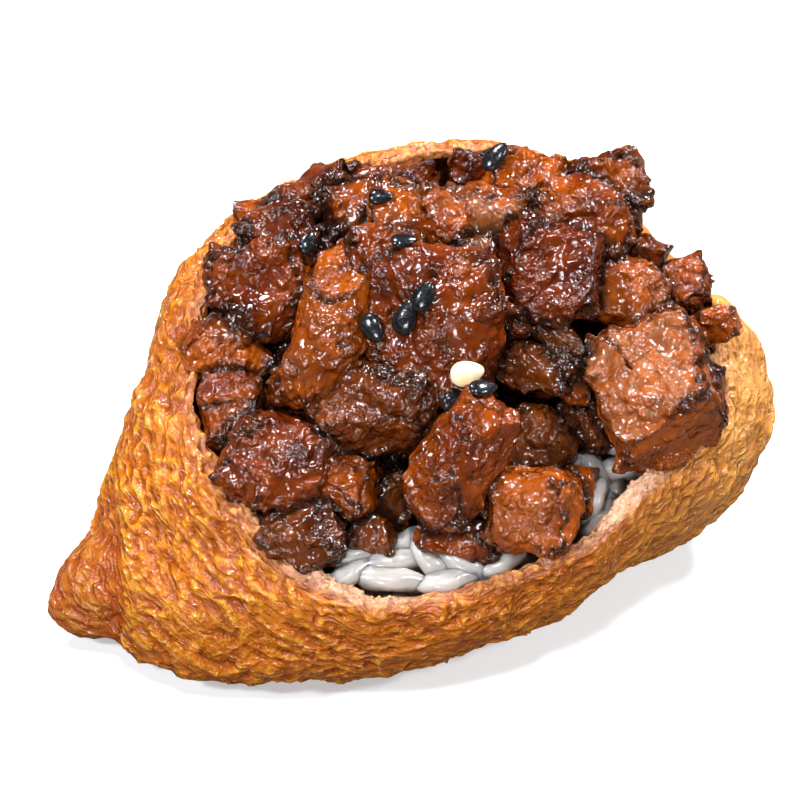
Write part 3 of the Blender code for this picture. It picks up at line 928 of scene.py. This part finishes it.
def scatter_tree():
    """Copies of a shape strewn over a surface, each lying on it with its own turn, tilt and size."""
    tree, given, wanted = geometry_tree(
        "strewn_over_surface",
        [("Shape", "Object"), ("Spacing", "Float"), ("Seed", "Int"),
         ("Tilt", "Float"), ("Smallest", "Float"), ("Largest", "Float"),
         ("Lift", "Float"), ("Material", "Material")],
    )
    share = add_node(tree, "GeometryNodeInputNamedAttribute", {"Name": "strewn"}, data_type="FLOAT")
    strewn = add_node(
        tree, "GeometryNodeDistributePointsOnFaces",
        {"Mesh": given["Geometry"], "Distance Min": given["Spacing"], "Density Max": 4e6,
         "Density Factor": share.outputs["Attribute"], "Seed": given["Seed"]},
        distribute_method="POISSON",
    )
    turn = add_node(
        tree, "FunctionNodeRandomValue", {"Min": (-1, -1, -math.pi), "Max": (1, 1, math.pi)},
        data_type="FLOAT_VECTOR",
    )
    tilt = add_node(tree, "ShaderNodeCombineXYZ", {"X": given["Tilt"], "Y": given["Tilt"], "Z": 1.0})
    euler = add_node(
        tree, "ShaderNodeVectorMath", {0: turn.outputs["Value"], 1: tilt.outputs[0]}, operation="MULTIPLY"
    )
    rotation = add_node(tree, "FunctionNodeEulerToRotation", {0: euler.outputs[0]})
    turned = add_node(
        tree, "FunctionNodeRotateRotation",
        {"Rotation": strewn.outputs["Rotation"], "Rotate By": rotation.outputs[0]},
        rotation_space="LOCAL",
    )
    size = add_node(
        tree, "FunctionNodeRandomValue", {"Min": given["Smallest"], "Max": given["Largest"]},
        data_type="FLOAT",
    )
    shape = add_node(tree, "GeometryNodeObjectInfo", {"Object": given["Shape"]})
    instances = add_node(
        tree, "GeometryNodeInstanceOnPoints",
        {"Points": strewn.outputs["Points"], "Instance": shape.outputs["Geometry"],
         "Rotation": turned.outputs[0], "Scale": size.outputs[1]},
    )
    up = add_node(tree, "ShaderNodeCombineXYZ", {"Z": given["Lift"]})
    lifted = add_node(
        tree, "GeometryNodeTranslateInstances",
        {"Instances": instances.outputs[0], "Translation": up.outputs[0]},
    )
    finish_tree(tree, lifted.outputs[0], given, wanted)
    return tree


def placing_tree():
    """Copies of a shape on the points of a mesh, turned and sized by the attributes `turn` and `size`."""
    tree, given, wanted = geometry_tree(
        "set_on_points", [("Shape", "Object"), ("Material", "Material")]
    )
    turn = add_node(tree, "GeometryNodeInputNamedAttribute", {"Name": "turn"}, data_type="FLOAT_VECTOR")
    size = add_node(tree, "GeometryNodeInputNamedAttribute", {"Name": "size"}, data_type="FLOAT_VECTOR")
    rotation = add_node(tree, "FunctionNodeEulerToRotation", {0: turn.outputs["Attribute"]})
    shape = add_node(tree, "GeometryNodeObjectInfo", {"Object": given["Shape"]})
    points = add_node(tree, "GeometryNodeMeshToPoints", {"Mesh": given["Geometry"]})
    instances = add_node(
        tree, "GeometryNodeInstanceOnPoints",
        {"Points": points.outputs[0], "Instance": shape.outputs["Geometry"],
         "Rotation": rotation.outputs[0], "Scale": size.outputs["Attribute"]},
    )
    finish_tree(tree, instances.outputs[0], given, wanted)
    return tree


def run_tree(name, tree, source, inputs):
    """What a geometry tree makes of a mesh, as a plain mesh."""
    obj = linked_object(name, source)
    modifier = obj.modifiers.new("made", "NODES")
    modifier.node_group = tree
    for item in tree.interface.items_tree:
        if item.in_out == "INPUT" and item.name in inputs:
            modifier[item.identifier] = inputs[item.name]
    return baked(obj)


def shape_object(mesh):
    """An object that only lends its mesh to a geometry tree."""
    return linked_object(mesh.name, mesh)


def placed_mesh(name, tree, shape, material, spots):
    """Copies of a shape, one for each (place in mm, turn as Euler angles, size)."""
    mesh = bpy.data.meshes.new(name)
    mesh.from_pydata([Vector(spot[0]) * MM for spot in spots], [], [])
    mark_vectors(mesh, "turn", [spot[1] for spot in spots])
    mark_vectors(mesh, "size", [spot[2] for spot in spots])
    return run_tree(name, tree, mesh, {"Shape": shape, "Material": material})


# ---- sesame

SEED_LENGTH = 3.3
SEED_WIDTH = 2.0
SEED_THICKNESS = 1.0

BLACK_SEEDS = (
    Laid(9.7, 24.2, 50, 3.4, 2.1), Laid(-9.3, 15.6, 70, 2.4, 1.7), Laid(0.4, 15.6, 12, 2.7, 1.7),
    Laid(-1.9, 20.2, 5, 2.4, 1.5), Laid(2.5, 10.4, 62, 3.2, 2.0), Laid(0.7, 8.3, 66, 3.5, 2.3),
    Laid(-2.6, 7.2, -55, 3.0, 2.2), Laid(8.2, 0.9, 25, 3.0, 1.9), Laid(5.3, -0.2, 5, 2.6, 2.0),
)
WHITE_SEEDS = (Laid(6.7, 2.7, 12, 3.3, 2.4),)


def seed_mesh():
    """A flat drop, pointed at one end."""
    mesh = spindle_mesh("seed_shape", SEED_LENGTH, SEED_WIDTH, SEED_THICKNESS, 20, 14, 0.5, 0.0)
    points = points_of(mesh)
    along = points[:, 0] / (SEED_LENGTH / 2)
    points[:, 1:] *= (1 - 0.28 * np.clip(along, -1, 1))[:, None]
    put_points(mesh, points)
    return mesh


def seed_material(name, body, shade, gloss):
    material, tree, shader = new_material(name)
    place = object_place(tree)
    mottle = use_group(tree, MOTTLE, {"Place": place, "Patch": 500.0, "Speck": 4000.0})
    feed(tree, shader, {"Base Color": mixed(tree, mottle["Patches"], body, shade)})
    feed(tree, shader, {"Normal": bumped(tree, noise_node(tree, place, 1.2, 2.0), 0.4, 0.15)})
    rough = ranged(tree, mottle["Specks"], 0.0, 1.0, gloss, gloss + 0.14)
    feed(tree, shader, {"Roughness": rough})
    return material


def surface_of(meshes):
    """A search tree over finished meshes, for laying things on them."""
    points, faces = [], []
    for mesh in meshes:
        start = len(points)
        points.extend(Vector(p) for p in points_of(mesh))
        faces.extend([start + v for v in polygon.vertices] for polygon in mesh.polygons)
    return BVHTree.FromPolygons(points, faces)


def laid_spots(things, surface, shape_length, shape_width, lift, spread):
    """Where things lie on a surface: each is looked for along a line of sight of the camera."""
    right, up, out = (Vector(axis) for axis in view_axes())
    eye = Vector(CAMERA_AIM) + out * CAMERA_DISTANCE
    spots = []
    for thing in things:
        sight = (right * thing.right + up * thing.up - out * CAMERA_DISTANCE).normalized()
        hit = surface.ray_cast(eye, sight)[0]
        if hit is None:
            continue
        near = [
            surface.find_nearest(hit + (right * i + up * j) * spread)[1]
            for i in (-1, 0, 1) for j in (-1, 0, 1)
        ]
        stand = (sum(near, Vector()).normalized() + out * 0.4).normalized()
        turn = math.radians(thing.turn)
        ahead = right * math.cos(turn) + up * math.sin(turn)
        side = stand.cross(ahead).normalized()
        ahead = side.cross(stand)
        facing = Matrix((ahead, side, stand)).transposed()
        size = (thing.length / shape_length, thing.width / shape_width, thing.width / shape_width)
        spots.append((hit + stand * lift, facing.to_euler(), size))
    return spots


# ---- sauce clots, which also stand in for shade, and crumbs

# Clots of dark sauce in the gaps of the heap, which also stand in for the shade there: right and up from
# the aim of the view, width and height.
CLOTS = (
    (-1.0, -6.6, 6.5, 6.0), (-10.6, 4.2, 5.5, 5.0), (12.0, 1.0, 6.0, 6.0), (-13.2, 1.6, 4.0, 4.5),
    (17.4, -2.0, 6.0, 6.0), (-9.0, -2.4, 5.0, 5.0), (11.0, 9.4, 5.5, 6.0), (19.5, 6.4, 6.0, 6.0),
    (-1.6, 23.0, 6.0, 5.0), (8.4, 22.6, 6.0, 5.0), (-6.2, -11.0, 5.0, 4.0), (8.0, -6.0, 5.0, 5.0),
    (-18.0, 5.0, 4.5, 5.0), (22.5, 13.0, 5.0, 5.0),
)
CLOT_SINK = 2.0
CLOT_CUTS = 22


def sauce_and_shade_mesh(bed, axes):
    """Wet dark clots of sauce that sit on the rice between the pieces of meat, and also stand in for the
    shade in those gaps.
    """
    eye = np.array(CAMERA_AIM) + axes[2] * CAMERA_DISTANCE
    meshes = []
    for number, (right, up, wide, tall) in enumerate(CLOTS):
        sight = right * axes[0] + up * axes[1] - axes[2] * CAMERA_DISTANCE
        hit = bed.ray_cast(Vector(eye), Vector(sight).normalized())[0]
        if hit is None:
            continue
        item = lump((0, 0, 0), (wide, tall, 5.0), 20.0 * number, warm=0.15, brown=0.3)
        middle = np.array(hit) + axes[2] * CLOT_SINK
        meshes.append(shaped_lump("dark_sauce", item, middle, 60 + number, axes, CLOT_CUTS))
    return joined("dark_sauce", meshes)


def build_crumbs(scatter, source, material):
    """Crumbs of the torn edge, still hanging on it."""
    shape = shape_object(spindle_mesh("crumb_shape", 0.9, 0.7, 0.6, 6, 5, 0.5, 0.06))
    mesh = run_tree(
        "lip_crumbs", scatter, source,
        {"Shape": shape, "Spacing": 0.6 * MM, "Seed": 9, "Tilt": 1.2, "Smallest": 0.3,
         "Largest": 0.75, "Lift": 0.0, "Material": material},
    )
    bpy.data.objects.remove(shape)
    add_piece("lip_crumbs", mesh, None, "tofu_skin")


def crumb_material():
    material, tree, shader = new_material("lip_crumb")
    place = object_place(tree)
    mottle = use_group(tree, MOTTLE, {"Place": place, "Patch": 500.0, "Speck": 1500.0})
    feed(tree, shader, {"Base Color": mixed(tree, mottle["Patches"], SKIN_CRUMB, SKIN_YELLOW)})
    feed(tree, shader, {"Roughness": ranged(tree, mottle["Specks"], 0.0, 1.0, 0.3, 0.5)})
    feed(tree, shader, {"Normal": bumped(tree, mottle["Specks"], 0.6, 0.1)})
    return material


# ---- build

def build_meat(material):
    axes = view_axes()
    meshes = {node: meat_mesh(node, seed, axes) for seed, node in enumerate(sorted(LUMPS), start=1)}
    clouds = {node: points_of(mesh)[::9] for node, mesh in meshes.items()}
    pieces = []
    for node, mesh in meshes.items():
        low, high = clouds[node].min(axis=0) - 2, clouds[node].max(axis=0) + 2
        others = np.concatenate([cloud for other, cloud in clouds.items() if other != node])
        others = others[np.all((others > low) & (others < high), axis=1)]
        # Painted shade, partly sauce, near where other pieces come close.
        mark(mesh, "hollow", 0.85 * smooth_step(1.3, 0.2, distance_to_points(points_of(mesh), others)))
        pieces.append(add_piece("glazed_" + node, mesh, material, "glazed_meat", node))
    return pieces


def build_rice(material, scatter, placing):
    core = core_mesh()
    normals, points = normals_of(core), points_of(core)
    bare = sum(
        np.exp(-(((points[:, 0] - x) / wide) ** 2) - ((points[:, 1] - y) / deep) ** 2)
        for x, y, wide, deep in BARE_RICE
    )
    mark(core, "strewn", (normals[:, 2] > 0.1) & (points[:, 2] > 6.0) & (bare > 0.3))
    mark(core, "sauce", smooth_step(0.6, 0.2, bare))
    bed = surface_of([core])
    source = core.copy()
    add_piece("rice_core", core, material, "cooked_rice", "rice")
    grain = shape_object(grain_mesh())
    strewn = run_tree(
        "rice_grains", scatter, source,
        {"Shape": grain, "Spacing": 2.4 * MM, "Seed": 4, "Tilt": 0.35, "Smallest": 0.85,
         "Largest": 1.05, "Lift": 0.3 * MM, "Material": material},
    )
    spots = laid_spots(TOP_GRAINS, bed, GRAIN_LENGTH, GRAIN_WIDTH, 2.7, 3.0)
    laid = placed_mesh("laid_grains", placing, grain, material, spots)
    bm = bmesh.new()
    bm.from_mesh(strewn)
    bm.from_mesh(laid)
    bm.to_mesh(strewn)
    bm.free()
    add_piece("rice_grains", strewn, material, "cooked_rice")
    bpy.data.objects.remove(grain)
    return bed


def build_seeds(placing, surface):
    shape = shape_object(seed_mesh())
    black = seed_material("black_sesame", (0.003, 0.0035, 0.005), (0.009, 0.010, 0.013), 0.16)
    white = seed_material("white_sesame", (0.78, 0.55, 0.30), (0.88, 0.72, 0.48), 0.3)
    for name, material, seeds in (
        ("black_sesame_seeds", black, BLACK_SEEDS), ("white_sesame_seed", white, WHITE_SEEDS)
    ):
        spots = laid_spots(seeds, surface, SEED_LENGTH, SEED_WIDTH, 0.5, 0.8)
        add_piece(name, placed_mesh(name, placing, shape, material, spots), None, "glazed_meat")
    bpy.data.objects.remove(shape)


# ---- studio

def floor_material():
    """Nearly white to the camera, greyer to what it is mirrored in, so that the glaze stays deep."""
    material, tree, shader = new_material("pale_floor")
    cloud = noise_node(tree, object_place(tree), 0.01, 2.0)
    seen = add_node(tree, "ShaderNodeLightPath").outputs["Is Camera Ray"]
    pale = mixed(tree, cloud, (0.78, 0.78, 0.785), (0.8, 0.8, 0.805))
    feed(tree, shader, {"Base Color": mixed(tree, seen, FLOOR_MIRRORED, pale)})
    feed(tree, shader, {"Roughness": 0.6, "Specular IOR Level": 0.1,
                        "Emission Color": (1.0, 1.0, 1.0, 1.0),
                        "Emission Strength": times(tree, seen, FLOOR_GLOW)})
    return material


def build_floor():
    mesh = bpy.data.meshes.new("floor")
    half = FLOOR_HALF * MM
    corners = [(-half, -half, 0), (half, -half, 0), (half, half, 0), (-half, half, 0)]
    mesh.from_pydata(corners, [], [(0, 1, 2, 3)])
    mesh.materials.append(floor_material())
    floor = linked_object("floor", mesh)
    floor.location.z = -0.02 * MM


def direction(azimuth, elevation):
    """Unit vector from the object towards a place seen under these angles, in degrees."""
    a, e = math.radians(azimuth), math.radians(elevation)
    return Vector((math.sin(a) * math.cos(e), -math.cos(a) * math.cos(e), math.sin(e)))


def add_light(name, azimuth, elevation, distance, size, power, colour=(1, 1, 1)):
    data = bpy.data.lights.new(name, "AREA")
    data.shape = "RECTANGLE"
    data.size, data.size_y = size[0] * MM, size[1] * MM
    data.energy = power
    data.color = colour
    light = linked_object(name, data)
    way = direction(azimuth, elevation)
    light.location = Vector(CAMERA_AIM) * MM + way * distance * MM
    light.rotation_euler = way.to_track_quat("Z", "Y").to_euler()


def build_studio():
    add_light("key", 205, 54, 420, (56, 44), 2.0)
    add_light("side", -75, 42, 420, (36, 52), 1.2, (0.88, 0.94, 1.0))
    add_light("fill", 60, 38, 500, (52, 42), 1.3)
    add_light("top", -20, 74, 460, (48, 42), 1.0, (0.93, 0.97, 1.0))
    add_light("right", 120, 44, 440, (44, 44), 2.2)
    add_light("front", -30, 20, 480, (90, 70), 1.0)
    world = bpy.data.worlds.new("studio")
    world.use_nodes = True
    sky = {"Color": (1.0, 1.0, 1.0, 1.0), "Strength": SKY_STRENGTH}
    feed(world.node_tree, world.node_tree.nodes["Background"], sky)
    bpy.context.scene.world = world


def build_camera():
    data = bpy.data.cameras.new("camera")
    data.sensor_width = 36.0
    data.lens = CAMERA_LENS
    data.clip_start, data.clip_end = 0.01, 10.0
    camera = linked_object("camera", data)
    way = direction(CAMERA_AZIMUTH, CAMERA_ELEVATION)
    camera.location = (Vector(CAMERA_AIM) + way * CAMERA_DISTANCE) * MM
    camera.rotation_euler = way.to_track_quat("Z", "Y").to_euler()
    bpy.context.scene.camera = camera


def build():
    bpy.context.scene.view_settings.view_transform = "Standard"
    build_camera()
    build_floor()
    build_studio()
    scatter, placing = scatter_tree(), placing_tree()
    pouch = pouch_mesh()
    add_piece("tofu_pouch", pouch, tofu_skin_material(), "tofu_skin", "pouch")
    build_crumbs(scatter, pouch.copy(), crumb_material())
    meat = meat_material()
    pieces = build_meat(meat)
    bed = build_rice(rice_material(), scatter, placing)
    # Sauce clots that also stand in for the shade in the gaps, darkened throughout.
    sauce = sauce_and_shade_mesh(bed, view_axes())
    mark(sauce, "hollow", np.full(len(sauce.vertices), 0.75))
    add_piece("dark_sauce", sauce, meat, "glazed_meat")
    build_seeds(placing, surface_of([piece.data for piece in pieces]))


build()
